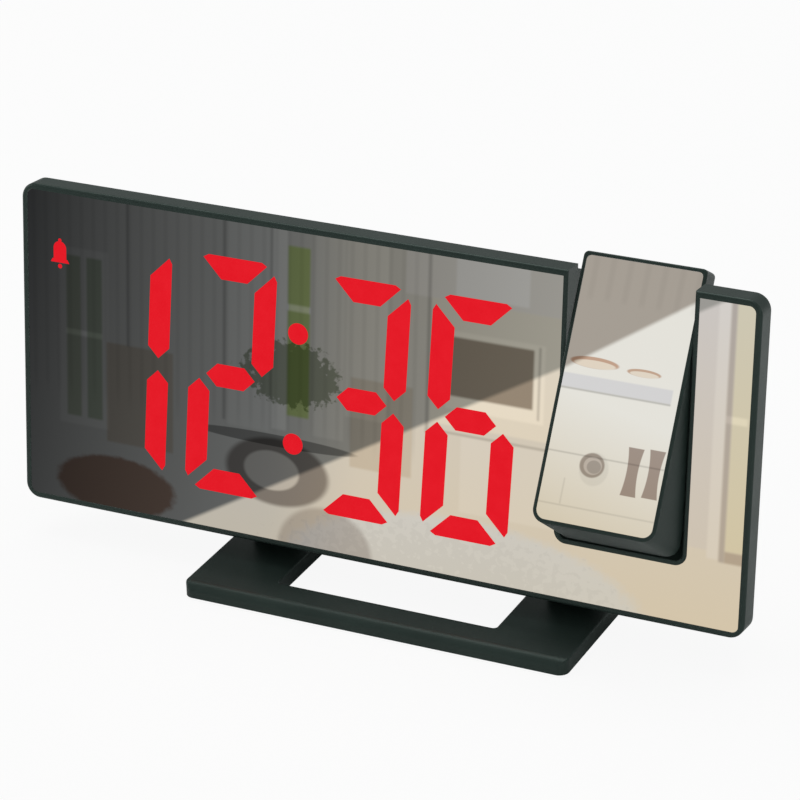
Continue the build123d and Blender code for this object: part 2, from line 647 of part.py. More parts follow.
def battery_cells():
    cells = []
    for side in (-1, 1):
        x = BATTERY_X + side * (CELL_R + CELL_SIDE_FIT)
        low = BAY_Z + CONTACT_ROOM
        up = side > 0
        body_low = low if up else low + CELL_NUB
        body = tube_up(CELL_R, body_low, body_low + CELL_L, x, CELL_Y)
        nub_low = body_low + CELL_L if up else low
        cells.append(body + tube_up(CELL_NUB_R, nub_low, nub_low + CELL_NUB, x, CELL_Y))
    return group(cells)


def battery_contacts():
    """Sprung plates at each end of the cells, bowed towards them."""
    contacts = []
    for side in (-1, 1):
        x = BATTERY_X + side * (CELL_R + CELL_SIDE_FIT)
        for end, wall, towards in ((0, BAY_Z, 1), (1, BAY_Z + BAY_L, -1)):
            low, high = sorted((wall, wall + towards * CONTACT_T))
            plate = block((x - 3.5, x + 3.5), (CELL_Y - 3.5, CELL_Y + 3.5), (low, high))
            low, high = sorted((wall + towards * CONTACT_T, wall + towards * CONTACT_ROOM))
            bow = Pos(x, CELL_Y, (low + high) / 2) * Cylinder(1.6, high - low)
            contacts.append(plate + bow)
    return group(contacts)


# ------------------------------------------------------------------------------------------ buttons and inner boards
def button(index):
    x, z = button_places()[index]
    seat = COVER_IN - BUTTON_BACKLASH
    cap = slab(Pos(x, z) * RectangleRounded(BUTTON_W, BUTTON_H, BUTTON_R), seat, COVER_D + BUTTON_PROUD)
    cap = fillet(cap.edges().group_by(Axis.Y)[-1], 0.5)
    flange = RectangleRounded(BUTTON_W + 2, BUTTON_H + 2, BUTTON_R)
    return cap + slab(Pos(x, z) * flange, seat - BUTTON_FLANGE, seat)


def tact_switches():
    top = MAIN_BOARD_BACK + SWITCH_T
    switches = []
    for x, z in button_places():
        body = slab(Pos(x, z) * Rectangle(SWITCH_SIZE, SWITCH_SIZE), MAIN_BOARD_BACK, top)
        switches.append(body + rod(x, z, PLUNGER_R, top, top + PLUNGER_L))
    return group(switches)


def main_board():
    plate = block(MAIN_BOARD_X, (MAIN_BOARD_FRONT, MAIN_BOARD_BACK), MAIN_BOARD_Z)
    for x, z in BOARD_SCREWS:
        plate -= rod(x, z, SCREW_R + HOLE_GAP, MAIN_BOARD_FRONT, MAIN_BOARD_BACK)
    return plate


def board_screws():
    return group([screw(x, z, MAIN_BOARD_FRONT, MAIN_BOARD_FRONT + 5, -1) for x, z in BOARD_SCREWS])


def driver_chips():
    middle = sum(MAIN_BOARD_Z) / 2
    chips = []
    places = (MAIN_BOARD_X[0] + CHIP_IN[0], MAIN_BOARD_X[1] - CHIP_IN[1])
    for x, size in zip(places, CHIP_SIZE):
        chips.append(slab(Pos(x, middle) * Rectangle(size, size), MAIN_BOARD_FRONT - CHIP_T, MAIN_BOARD_FRONT))
    return group(chips)


def board_connector():
    middle = sum(MAIN_BOARD_X) / 2 - CONNECTOR_SHIFT
    x = (middle - CONNECTOR_L / 2, middle + CONNECTOR_L / 2)
    return block(x, (DISPLAY_BOARD_BACK, MAIN_BOARD_FRONT), (BUTTON_Z - CONNECTOR_H / 2, BUTTON_Z + CONNECTOR_H / 2))


def power_socket():
    front = COVER_IN - SOCKET_L
    body = slab(Pos(SOCKET_X, SOCKET_Z) * Rectangle(SOCKET_SIZE, SOCKET_SIZE), front, COVER_IN)
    body += rod(SOCKET_X, SOCKET_Z, SOCKET_NOSE_R, COVER_IN, COVER_D)
    body -= rod(SOCKET_X, SOCKET_Z, SOCKET_BORE_R, front + 2, COVER_D)
    return body + rod(SOCKET_X, SOCKET_Z, SOCKET_PIN_R, front + 1, COVER_D - 1)


def buzzer():
    can = rod(BUZZER_X, BUZZER_Z, BUZZER_R, COVER_IN - BUZZER_T, COVER_IN)
    return can - rod(BUZZER_X, BUZZER_Z, SOUND_RING + SOUND_HOLE_R, COVER_IN - 1, COVER_IN)


# ------------------------------------------------------------------------------------------ projector arm, closed
def arm_outline(y, inset, top, top_radius, bottom_radius):
    """Section of the arm at depth y: its bottom end is lower towards the back."""
    low = ARM_BOTTOM - y * tan(radians(ARM_SLANT)) + inset
    high = top - inset
    face = Pos(POCKET_X, (low + high) / 2) * Rectangle(ARM_W - 2 * inset, high - low)
    corners = face.vertices().group_by(Axis.Y)
    face = fillet(corners[0], bottom_radius)
    return fillet(face.vertices().group_by(Axis.Y)[-1], top_radius)


def arm_solid(front, back, inset, top, top_radius, bottom_radius):
    ends = [at_depth(y) * arm_outline(y, inset, top, top_radius, bottom_radius) for y in (front, back)]
    return loft(Sketch() + ends, ruled=True)


def arm_screw_places():
    low = ARM_BOTTOM + ARM_WALL + POST_R - 0.9
    side = ARM_W / 2 - ARM_WALL - POST_R - 0.3
    return [(POCKET_X + turn * side, z) for turn in (-1, 1) for z in (low, low + ARM_SCREW_RISE)]


def projector_front_shell():
    shell = arm_solid(0, ARM_LIP_T, 0, ARM_TOP, ARM_TOP_R, ARM_BOTTOM_R)
    shell = fillet(shell.edges().group_by(Axis.Y)[0], EDGE_ROUND / 2)
    inset = ARM_BEZEL - FIT
    recess = arm_outline(0, inset, ARM_TOP, ARM_TOP_R, ARM_BOTTOM_R - inset)
    shell -= slab(recess, -EDGE_ROUND, MIRROR_T)
    web = MIRROR_T + ARM_WALL
    shell -= arm_solid(web, ARM_LIP_T, ARM_WALL, DECK_Z, ARM_TOP_R, ARM_BOTTOM_R - ARM_WALL)
    for x, z in arm_screw_places():
        post = rod(x, z, POST_R - 0.4, MIRROR_T + ARM_WALL / 2, ARM_LIP_T + 3)
        shell += post - rod(x, z, SCREW_R + HOLE_GAP, MIRROR_T + ARM_WALL, ARM_LIP_T + 3)
    return shell


def projector_mirror():
    return slab(arm_outline(0, ARM_BEZEL, ARM_TOP, ARM_TOP_R, ARM_BOTTOM_R - ARM_BEZEL), MIRROR_SET / 2, MIRROR_T)


def projector_rear_shell():
    shell = arm_solid(ARM_LIP_T, ARM_T, 0, DECK_Z, ARM_TOP_R, ARM_BOTTOM_R)
    shell = fillet(shell.edges().group_by(Axis.Y)[-1], ARM_BACK_ROUND)
    shell -= arm_solid(ARM_LIP_T, ARM_T - ARM_WALL, ARM_WALL, DECK_Z, ARM_TOP_R, ARM_BOTTOM_R - ARM_WALL)
    for side in (-1, 1):
        ends = sorted((POCKET_X + side * (ARM_W / 2 - ARM_WALL / 2), POCKET_X + side * (ARM_W / 2 - ARM_WALL - BOSS_L)))
        shell += cross_rod(*ends, HINGE_Y, HINGE_Z, PIN_R + ARM_WALL)
        ends = sorted((POCKET_X + side * ARM_W / 2, ends[0 if side > 0 else 1]))
        shell -= cross_rod(*ends, HINGE_Y, HINGE_Z, PIN_R)
    for x, z in arm_screw_places():
        shell += rod(x, z, POST_R - 0.4, ARM_LIP_T + 3, ARM_T - ARM_WALL / 2)
        shell -= rod(x, z, SCREW_R + HOLE_GAP, ARM_LIP_T + 3, ARM_T)
        shell -= rod(x, z, SCREW_HEAD_R / 2 + 0.7, ARM_T - SCREW_HEAD_H, ARM_T)
    return shell - tube_up(SLEEVE_R + TURN_FIT, DECK_Z - 2 * ARM_WALL, DECK_Z + ARM_WALL)


def projector_screws():
    screws = []
    for x, z in arm_screw_places():
        seat = ARM_T - SCREW_HEAD_H
        shank = rod(x, z, SCREW_R, MIRROR_T + ARM_WALL + 0.2, seat)
        cap = rod(x, z, SCREW_HEAD_R / 2 + 0.65, seat, seat + 1)
        for angle in (0, 90):
            cap -= Pos(x, seat + 0.8, z) * Rot(0, angle, 0) * Box(SCREW_HEAD_R, 0.4, 0.4)
        screws.append(shank + cap)
    return group(screws)


def hinge_side(side, near, far, outer, inner=0.0):
    """A round piece on the hinge axis, from near to far beyond the pocket's middle."""
    ends = sorted((POCKET_X + side * near, POCKET_X + side * far))
    piece = cross_rod(*ends, HINGE_Y, HINGE_Z, outer)
    return piece - cross_rod(*ends, HINGE_Y, HINGE_Z, inner) if inner else piece


def hinge_pins():
    near = ARM_W / 2 - ARM_WALL - BOSS_L
    far = CHEEK_X + WASHER_T + CLIP_T + 0.4
    return group([hinge_side(side, near, far, PIN_R) for side in (-1, 1)])


def hinge_spring_washers():
    return group([hinge_side(side, CHEEK_X, CHEEK_X + WASHER_T, 2 * PIN_R, PIN_R + PIN_FIT) for side in (-1, 1)])


def hinge_clips():
    near = CHEEK_X + WASHER_T
    return group([hinge_side(side, near, near + CLIP_T, 1.8 * PIN_R, PIN_R) for side in (-1, 1)])


# ------------------------------------------------------------------------------------------ focusing lens and optics
def focus_ring():
    ring = tube_up(RING_R, RING_Z, RING_Z + RING_H)
    ring = fillet(ring.edges().group_by(Axis.Z)[-1], 0.4)
    for place in PolarLocations(RING_R, KNURLS):
        ring -= Pos(POCKET_X, AXIS_Y, RING_Z + RING_H / 2) * place * Cylinder(KNURL_R, 2 * RING_H)
    ring += tube_up(SLEEVE_R, RING_Z - SLEEVE_L, RING_Z)
    return ring - tube_up(BARREL_R + TURN_FIT, RING_Z - SLEEVE_L - 1, RING_Z + RING_H + 1)


def focus_ring_clip():
    top = DECK_Z - ARM_WALL - 0.1
    return tube_up(TUBE_R, top - 0.8, top) - tube_up(SLEEVE_R, top - 0.8, top)


def lens_barrel():
    barrel = tube_up(BARREL_R, BARREL_TOP - BARREL_L, BARREL_TOP)
    barrel -= tube_up(BARREL_BORE, BARREL_TOP - BARREL_L, BARREL_TOP)
    barrel -= tube_up(LENS_R, BARREL_TOP - 2.4, BARREL_TOP)
    for side in (-1, 1):
        x = POCKET_X + side * (BARREL_R + 0.3)
        barrel += block((x - 0.5, x + 0.5), (AXIS_Y - 0.5, AXIS_Y + 0.5), (BARREL_TOP - BARREL_L, BARREL_TOP - BARREL_L + 2))
    return barrel - tube_up(BARREL_BORE, BARREL_TOP - BARREL_L, BARREL_TOP)


def round_lens(radius, edge, dome, low, both):
    """A lens on the optical axis: a domed top on a straight edge, and a domed bottom if both."""
    ball = (radius**2 + dome**2) / (2 * dome)
    lens = tube_up(radius, low, low + edge + dome)
    lens &= Pos(POCKET_X, AXIS_Y, low + edge + dome - ball) * Sphere(ball)
    if both:
        lower = tube_up(radius, low - dome, low + edge / 2)
        lens += lower & Pos(POCKET_X, AXIS_Y, low - dome + ball) * Sphere(ball)
    return lens


def projection_lens():
    return round_lens(LENS_R, 0.9, 0.7, BARREL_TOP - 2.4, False)


def optics_tube():
    x = (POCKET_X - FLANGE_W / 2, POCKET_X + FLANGE_W / 2)
    tube = block(x, (AXIS_Y - TUBE_R, AXIS_Y + TUBE_R), (TUBE_Z, TUBE_Z + FLANGE_T))
    tube += tube_up(TUBE_R, TUBE_Z, TUBE_TOP)
    tube -= tube_up(BARREL_R + TURN_FIT, TUBE_Z, TUBE_TOP)
    key_low = BARREL_TOP - BARREL_L - FOCUS_TRAVEL - 1
    width = 2 * BARREL_R + 2.2
    slot = block((POCKET_X - width / 2, POCKET_X + width / 2), (AXIS_Y - 0.6, AXIS_Y + 0.6), (key_low, TUBE_TOP))
    return tube - slot


def image_lcd():
    half = TUBE_R - TUBE_FIT
    return block((POCKET_X - half, POCKET_X + half), (AXIS_Y - half, AXIS_Y + half), (LCD_Z, LCD_Z + LCD_T))


def condenser_holder():
    x = (POCKET_X - HOLDER_W / 2, POCKET_X + HOLDER_W / 2)
    holder = block(x, (AXIS_Y - TUBE_R, AXIS_Y + TUBE_R), (HOLDER_Z, LCD_Z))
    holder -= tube_up(HOLDER_BORE, HOLDER_Z, LCD_Z)
    return holder - tube_up(CONDENSER_R, HOLDER_Z + CONDENSER_SEAT, LCD_Z)


def condenser_lens():
    return round_lens(CONDENSER_R, 1.2, 2.0, HOLDER_Z + CONDENSER_SEAT, False)


def projector_led():
    x, y = (POCKET_X - LED_BASE, POCKET_X + LED_BASE), (AXIS_Y - LED_BASE, AXIS_Y + LED_BASE)
    base = block(x, y, (HOLDER_Z, HOLDER_Z + 1.2))
    return base + round_lens(0.85 * LED_BASE, 0.4, 0.6 * LED_BASE, HOLDER_Z + 1.2, False)


def led_board():
    x = (POCKET_X - LED_BOARD_W / 2, POCKET_X + LED_BOARD_W / 2)
    return block(x, (ARM_LIP_T, AXIS_Y + TUBE_R), (LED_BOARD_Z, HOLDER_Z))


# ------------------------------------------------------------------------------------------ stand, in the table frame
CLOCK_PLACE = Location((0, 0, LIFT), (-LEAN, 0, 0))


def stand():
    low, high = FOOT_PROUD, FOOT_PROUD + STAND_T
    left, right = STAND_X - STAND_W / 2, STAND_X + STAND_W / 2
    plate = block((left, right), (STAND_FRONT, STAND_BACK), (low, high))
    front_top = plate.edges().filter_by(Axis.X).group_by(Axis.Z)[-1].sort_by(Axis.Y)[0]
    plate = fillet(front_top, STAND_ROUND)
    middle = (STAND_FRONT + STAND_BACK) / 2
    plan = Pos(STAND_X, middle) * RectangleRounded(STAND_W, STAND_BACK - STAND_FRONT, STAND_R)
    plate = plate & extrude(plan, amount=2 * high)
    window_front, window_back = STAND_FRONT + FRONT_BAR, STAND_BACK - REAR_BAR
    window = Pos(STAND_X, (window_front + window_back) / 2)
    window = window * RectangleRounded(WINDOW_W, window_back - window_front, WINDOW_R)
    plate -= extrude(window, amount=2 * high)
    top = plate.faces().sort_by(Axis.Z)[-1]
    plate = chamfer(top.inner_wires().edges(), STAND_EDGE / 2)
    sides = [edge for edge in plate.edges().filter_by(Axis.Y) if edge.center().Z > high - FIT and edge.length > WINDOW_W / 2
             and abs(edge.center().X - STAND_X) > STAND_W / 2 - FIT]
    plate = fillet(sides, STAND_EDGE)
    for x, y in foot_places():
        recess = Pos(x, y) * RectangleRounded(FOOT_SIZE[0] + 2 * FIT, FOOT_SIZE[1] + 2 * FIT, FOOT_INSET)
        plate -= extrude(recess, amount=FOOT_T)
    for x in stem_places():
        stem = block((x - STEM_W / 2, x + STEM_W / 2), (STEM_Y, STEM_Y + STEM_T), (STEM_ROOT, STEM_TOP))
        plate += CLOCK_PLACE * stem
    return plate


def foot_places():
    x_in = FOOT_SIZE[0] / 2 + 3
    y_in = FOOT_SIZE[1] / 2 + FOOT_INSET
    return [(x, y) for x in (STAND_X - STAND_W / 2 + x_in, STAND_X + STAND_W / 2 - x_in)
            for y in (STAND_FRONT + y_in, STAND_BACK - y_in)]


def stand_feet():
    pads = [extrude(Pos(x, y) * RectangleRounded(*FOOT_SIZE, FOOT_INSET), amount=FOOT_T) for x, y in foot_places()]
    return group(pads)


# ------------------------------------------------------------------------------------------ the whole clock
def hinge_turn(angle):
    """Swings the arm open about its hinge, in the clock's frame: its bottom comes forward."""
    return Location((0, HINGE_Y, HINGE_Z)) * Location((0, 0, 0), (-angle, 0, 0)) * Location((0, -HINGE_Y, -HINGE_Z))


STAND_PIECES = {"stand": stand, "stand_feet": stand_feet}
CLOCK_PIECES = {
    "front_frame": front_frame, "mirror_panel": mirror_panel, "colon_dots": colon_dots,
    "alarm_indicator": alarm_indicator, "diffuser_film": diffuser_film, "light_box": light_box,
    "segment_leds": segment_leds, "display_board": display_board, "board_connector": board_connector,
    "main_board": main_board, "driver_chips": driver_chips, "tact_switches": tact_switches,
    "board_screws": board_screws, "rear_cover": rear_cover, "cover_screws": cover_screws,
    "battery_door": battery_door, "battery_cells": battery_cells, "battery_contacts": battery_contacts,
    "power_socket": power_socket, "buzzer": buzzer, "hinge_spring_washers": hinge_spring_washers,
}
ARM_PIECES = {
    "projector_front_shell": projector_front_shell, "projector_mirror": projector_mirror,
    "projector_rear_shell": projector_rear_shell, "projector_screws": projector_screws,
    "hinge_pins": hinge_pins, "hinge_clips": hinge_clips, "focus_ring": focus_ring,
    "focus_ring_clip": focus_ring_clip, "lens_barrel": lens_barrel, "projection_lens": projection_lens,
    "optics_tube": optics_tube, "image_lcd": image_lcd, "condenser_holder": condenser_holder,
    "condenser_lens": condenser_lens, "projector_led": projector_led, "led_board": led_board,
}
ARM_PLACE = CLOCK_PLACE * hinge_turn(ARM_OPEN)


def assembled():
    """Every piece where it stands on the table, before the origin is moved under its middle."""
    pieces = {name: draw() for name, draw in STAND_PIECES.items()}
    for name, draw in CLOCK_PIECES.items():
        pieces[name] = CLOCK_PLACE * draw()
    for index, name in enumerate(DIGIT_NAMES):
        pieces[name] = CLOCK_PLACE * digit(index)
    for index, name in enumerate(BUTTON_NAMES):
        pieces["button_" + name] = CLOCK_PLACE * button(index)
    for name, draw in ARM_PIECES.items():
        pieces[name] = ARM_PLACE * draw()
    return pieces


def footprint_shift(pieces):
    """Brings the middle of the whole clock's footprint to the origin."""
    boxes = [piece.bounding_box() for piece in pieces.values()]
    low = min(box.min.Y for box in boxes)
    high = max(box.max.Y for box in boxes)
    return Pos(0, -(low + high) / 2, 0)


def main():
    os.makedirs("parts", exist_ok=True)
    pieces = assembled()
    shift = footprint_shift(pieces)
    for name, piece in pieces.items():
        export_step(shift * piece, f"parts/{name}.step")
    print(f"{len(pieces)} pieces, moved {shift.position.Y:.4f} mm along y")


if __name__ == "__main__":
    main()
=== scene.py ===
import json
import math

import bpy
from mathutils import Matrix, Vector


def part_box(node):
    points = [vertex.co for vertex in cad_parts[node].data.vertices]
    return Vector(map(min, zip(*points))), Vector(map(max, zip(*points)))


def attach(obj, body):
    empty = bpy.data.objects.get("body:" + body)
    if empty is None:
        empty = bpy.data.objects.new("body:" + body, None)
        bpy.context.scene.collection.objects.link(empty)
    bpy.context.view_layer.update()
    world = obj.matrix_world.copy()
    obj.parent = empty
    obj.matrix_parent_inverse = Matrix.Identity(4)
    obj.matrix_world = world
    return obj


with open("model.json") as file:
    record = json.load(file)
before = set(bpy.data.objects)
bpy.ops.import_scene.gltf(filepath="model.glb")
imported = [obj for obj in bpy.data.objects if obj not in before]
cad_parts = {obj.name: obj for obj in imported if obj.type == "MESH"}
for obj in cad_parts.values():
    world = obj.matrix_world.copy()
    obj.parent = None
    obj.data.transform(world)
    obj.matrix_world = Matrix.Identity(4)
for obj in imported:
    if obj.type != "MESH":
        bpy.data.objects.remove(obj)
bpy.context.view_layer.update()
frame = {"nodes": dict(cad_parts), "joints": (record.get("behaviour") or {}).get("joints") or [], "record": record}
bpy.ops.object.select_all(action="DESELECT")
pieces = frame["nodes"]

# ---------------------------------------------------------------- loop stand
# One moulded plate with a window in it and two stems that plug into the clock. It is satin near-black ABS
# with a faintly green cast and the fine even grain of a spark-eroded mould.


def shader(name):
    """A new material, its node tree and its Principled shader."""
    material = bpy.data.materials.new(name)
    material.use_nodes = True
    return material, material.node_tree, material.node_tree.nodes["Principled BSDF"]


def node(tree, kind, sockets=None, **settings):
    """Adds a shader node. A socket is given a value, or another node's output to be joined to."""
    made = tree.nodes.new("ShaderNode" + kind)
    for name, value in settings.items():
        setattr(made, name, value)
    for name, value in (sockets or {}).items():
        if isinstance(value, bpy.types.NodeSocket):
            tree.links.new(value, made.inputs[name])
        else:
            made.inputs[name].default_value = value
    return made


def between(tree, factor, low, high, start=0.0, end=1.0):
    """A colour that runs from low to high as the factor goes from start to end."""
    slope = node(tree, "ValToRGB", {"Fac": factor})
    first, last = slope.color_ramp.elements
    first.position, first.color = start, (*low, 1.0)
    last.position, last.color = end, (*high, 1.0)
    return slope.outputs["Color"]


def noise(tree, place, scale, detail, **more):
    """Cloudy noise between 0 and 1, finer for a larger scale."""
    return node(tree, "TexNoise", {"Vector": place, "Scale": scale, "Detail": detail, **more}).outputs["Fac"]


def gloss(tree, skin, factor, smooth, rough):
    """A roughness that runs from smooth to rough with the factor."""
    made = node(tree, "MapRange", {"Value": factor, "To Min": smooth, "To Max": rough})
    tree.links.new(made.outputs["Result"], skin.inputs["Roughness"])


def relief(tree, skin, height, strength, depth):
    """Fine bumps in a surface, so many metres deep at full strength."""
    made = node(tree, "Bump", {"Height": height, "Strength": strength, "Distance": depth})
    tree.links.new(made.outputs["Normal"], skin.inputs["Normal"])


MOULD_GRAIN_DEPTH = 0.00012
PLASTIC_SHINE = 0.36
PLASTIC_SHINE_TINT = (0.80, 1.0, 0.92, 1.0)


def moulded_plastic(name, colour, roughness, grain=0.12, cloud=0.12):
    """Injection-moulded plastic: a little uneven in tone and gloss, with a fine pebbled grain."""
    material, tree, skin = shader(name)
    place = node(tree, "TexCoord").outputs["Object"]
    tone = noise(tree, place, 38.0, 3.0)
    dark, light = [c * (1 - cloud) for c in colour], [c * (1 + cloud) for c in colour]
    tree.links.new(between(tree, tone, dark, light, 0.35, 0.65), skin.inputs["Base Color"])
    wipe = noise(tree, place, 160.0, 4.0, Roughness=0.6)
    gloss(tree, skin, wipe, roughness - 0.05, roughness + 0.07)
    skin.inputs["Specular IOR Level"].default_value = PLASTIC_SHINE
    skin.inputs["Specular Tint"].default_value = PLASTIC_SHINE_TINT
    pebble = node(tree, "TexVoronoi", {"Vector": place, "Scale": 2400.0}).outputs["Distance"]
    dust = noise(tree, place, 5200.0, 2.0)
    height = node(tree, "Math", {0: pebble, 1: dust}, operation="ADD").outputs["Value"]
    relief(tree, skin, height, grain, MOULD_GRAIN_DEPTH)
    return material


def finish(name, material):
    """Gives a piece its material. Its surface keeps the smooth shading that it comes with."""
    piece = pieces[name]
    piece.data.materials.clear()
    piece.data.materials.append(material)


STAND_COLOUR = (0.022, 0.034, 0.030)
stand_plastic = moulded_plastic("stand_plastic", STAND_COLOUR, 0.36)
finish("stand", stand_plastic)

# ---------------------------------------------------------------- feet
# Four moulded rubber pads glued into recesses under the plate, matt and slightly dusty.
foot_rubber, tree, skin = shader("foot_rubber")
place = node(tree, "TexCoord").outputs["Object"]
dust = noise(tree, place, 900.0, 5.0)
clean_rubber, dusty_rubber = (0.016, 0.016, 0.016), (0.05, 0.05, 0.048)
tree.links.new(between(tree, dust, clean_rubber, dusty_rubber, 0.4, 0.8), skin.inputs["Base Color"])
skin.inputs["Roughness"].default_value = 0.85
relief(tree, skin, dust, 0.3, 0.0002)
finish("stand_feet", foot_rubber)

# ---------------------------------------------------------------- front frame and rear cover
# The two halves of the case: a thin band round the mirror and the deeper cover behind it, in the same satin
# near-black ABS. The battery door on the back is moulded in it too.
CASE_COLOUR = (0.021, 0.033, 0.029)
case_plastic = moulded_plastic("case_plastic", CASE_COLOUR, 0.34)
for name in ("front_frame", "rear_cover", "battery_door"):
    finish(name, case_plastic)

# ---------------------------------------------------------------- mirrors
# One-way mirror: clear acrylic with a thin metal coating, dead flat and polished, a touch uneven in tint.
one_way_mirror, tree, skin = shader("one_way_mirror")
place = node(tree, "TexCoord").outputs["Object"]
smear = noise(tree, place, 14.0, 4.0, Distortion=0.6)
tree.links.new(between(tree, smear, (0.80, 0.81, 0.80), (0.84, 0.85, 0.84)), skin.inputs["Base Color"])
skin.inputs["Metallic"].default_value = 1.0
skin.inputs["Roughness"].default_value = 0.0
finish("mirror_panel", one_way_mirror)
finish("projector_mirror", one_way_mirror)

# ---------------------------------------------------------------- lit digits, colon and alarm sign
# Clear windows in the coating, lit from behind: an even deep red, hardly brighter in patches.
lit_segment, tree, skin = shader("lit_segment")
place = node(tree, "TexCoord").outputs["Object"]
patch = noise(tree, place, 260.0, 2.0)
glow = between(tree, patch, (0.81, 0.005, 0.015), (0.84, 0.008, 0.019), 0.3, 0.7)
GLOW_STRENGTH = 0.86
skin.inputs["Base Color"].default_value = (0.12, 0.002, 0.003, 1.0)
skin.inputs["Roughness"].default_value = 0.45
skin.inputs["Specular IOR Level"].default_value = 0.1
tree.links.new(glow, skin.inputs["Emission Color"])
skin.inputs["Emission Strength"].default_value = GLOW_STRENGTH
for name in ("digit_hour_tens", "digit_hour_units", "colon_dots", "digit_minute_tens", "digit_minute_units",
             "alarm_indicator"):
    finish(name, lit_segment)

# ---------------------------------------------------------------- diffuser film and light box
# A frosted film in front of a white moulded reflector, whose cavities keep each segment's light apart.
frosted_film, tree, skin = shader("frosted_film")
place = node(tree, "TexCoord").outputs["Object"]
frost = noise(tree, place, 1800.0, 3.0)
tree.links.new(between(tree, frost, (0.78, 0.78, 0.76), (0.88, 0.88, 0.86)), skin.inputs["Base Color"])
skin.inputs["Roughness"].default_value = 0.6
finish("diffuser_film", frosted_film)
white_plastic = moulded_plastic("white_plastic", (0.80, 0.80, 0.78), 0.5, 0.06, 0.03)
finish("light_box", white_plastic)
finish("board_connector", white_plastic)

# ---------------------------------------------------------------- circuit boards
# Glass-fibre boards under a green solder mask, with the copper runs showing through as lighter lines.
circuit_board, tree, skin = shader("circuit_board")
place = node(tree, "TexCoord").outputs["Object"]
MASK_GREEN = (0.012, 0.11, 0.045, 1.0)
MASK_GREEN_DEEPER = (0.01, 0.09, 0.04, 1.0)
COPPER_UNDER_MASK = (0.035, 0.20, 0.075, 1.0)
runs = node(tree, "TexBrick", {
    "Vector": place, "Scale": 260.0, "Mortar Size": 0.035, "Brick Width": 0.9, "Row Height": 0.32,
    "Color1": MASK_GREEN, "Color2": MASK_GREEN_DEEPER, "Mortar": COPPER_UNDER_MASK})
tree.links.new(runs.outputs["Color"], skin.inputs["Base Color"])
skin.inputs["Roughness"].default_value = 0.3
relief(tree, skin, runs.outputs["Fac"], 0.25, 0.0001)
for name in ("display_board", "main_board", "led_board"):
    finish(name, circuit_board)

# ---------------------------------------------------------------- LEDs, chips and switches
# White-bodied LEDs with a faint warm lens, and black moulded chips and switch bodies.
led_body = moulded_plastic("led_body", (0.86, 0.80, 0.62), 0.3, 0.05, 0.08)
finish("segment_leds", led_body)
finish("projector_led", led_body)
black_moulding = moulded_plastic("black_moulding", (0.018, 0.018, 0.02), 0.42, 0.2)
for name in ("driver_chips", "tact_switches", "buzzer", "power_socket"):
    finish(name, black_moulding)

# ---------------------------------------------------------------- screws, pins, washers and clips
# Zinc-plated steel, finely brushed across, a little duller in patches.


def brushed_metal(name, colour, roughness):
    """Bare or plated metal with fine brush lines, duller in patches."""
    material, tree, skin = shader(name)
    place = node(tree, "TexCoord").outputs["Object"]
    stretched = node(tree, "Mapping", {"Vector": place, "Scale": (900.0, 12000.0, 900.0)}).outputs["Vector"]
    brush = noise(tree, stretched, 1.0, 3.0)
    dull = noise(tree, place, 700.0, 3.0)
    dull_colour = [0.8 * c for c in colour]
    tree.links.new(between(tree, dull, dull_colour, colour, 0.3, 0.6), skin.inputs["Base Color"])
    skin.inputs["Metallic"].default_value = 1.0
    gloss(tree, skin, brush, roughness - 0.08, roughness + 0.1)
    relief(tree, skin, brush, 0.08, 0.00005)
    return material


zinc_steel = brushed_metal("zinc_steel", (0.60, 0.60, 0.61), 0.32)
spring_steel = brushed_metal("spring_steel", (0.42, 0.42, 0.44), 0.25)
for name in ("cover_screws", "board_screws", "projector_screws", "hinge_pins"):
    finish(name, zinc_steel)
for name in ("hinge_spring_washers", "hinge_clips", "focus_ring_clip"):
    finish(name, spring_steel)
nickel_plate = brushed_metal("nickel_plate", (0.72, 0.69, 0.63), 0.2)
finish("battery_contacts", nickel_plate)

# ---------------------------------------------------------------- battery cells
# Two slim cells in plain wraps: dark grey with a wide copper-coloured band, as bare as generic ones.
WRAP_GREY = (0.03, 0.034, 0.038, 1.0)
WRAP_COPPER = (0.55, 0.22, 0.07, 1.0)
COPPER_FROM = 0.68
cell_wrap, tree, skin = shader("cell_wrap")
low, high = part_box("battery_cells")
place = node(tree, "TexCoord").outputs["Object"]
height = node(tree, "SeparateXYZ", {"Vector": place}).outputs["Z"]
climb = node(tree, "MapRange", {"Value": height, "From Min": low.z, "From Max": high.z}).outputs["Result"]
wrap = node(tree, "ValToRGB", {"Fac": climb})
wrap.color_ramp.interpolation = "CONSTANT"
lower, upper = wrap.color_ramp.elements
lower.color = WRAP_GREY
upper.position, upper.color = COPPER_FROM, WRAP_COPPER
tree.links.new(wrap.outputs["Color"], skin.inputs["Base Color"])
skin.inputs["Metallic"].default_value = 0.6
skin.inputs["Roughness"].default_value = 0.3
finish("battery_cells", cell_wrap)

# ---------------------------------------------------------------- buttons
# Five small keys on the back, moulded a shade lighter than the case and a little glossier from touch.
key_plastic = moulded_plastic("key_plastic", (0.034, 0.043, 0.042), 0.28, 0.08)
for name in ("mode", "up", "down", "alarm", "projector"):
    finish("button_" + name, key_plastic)

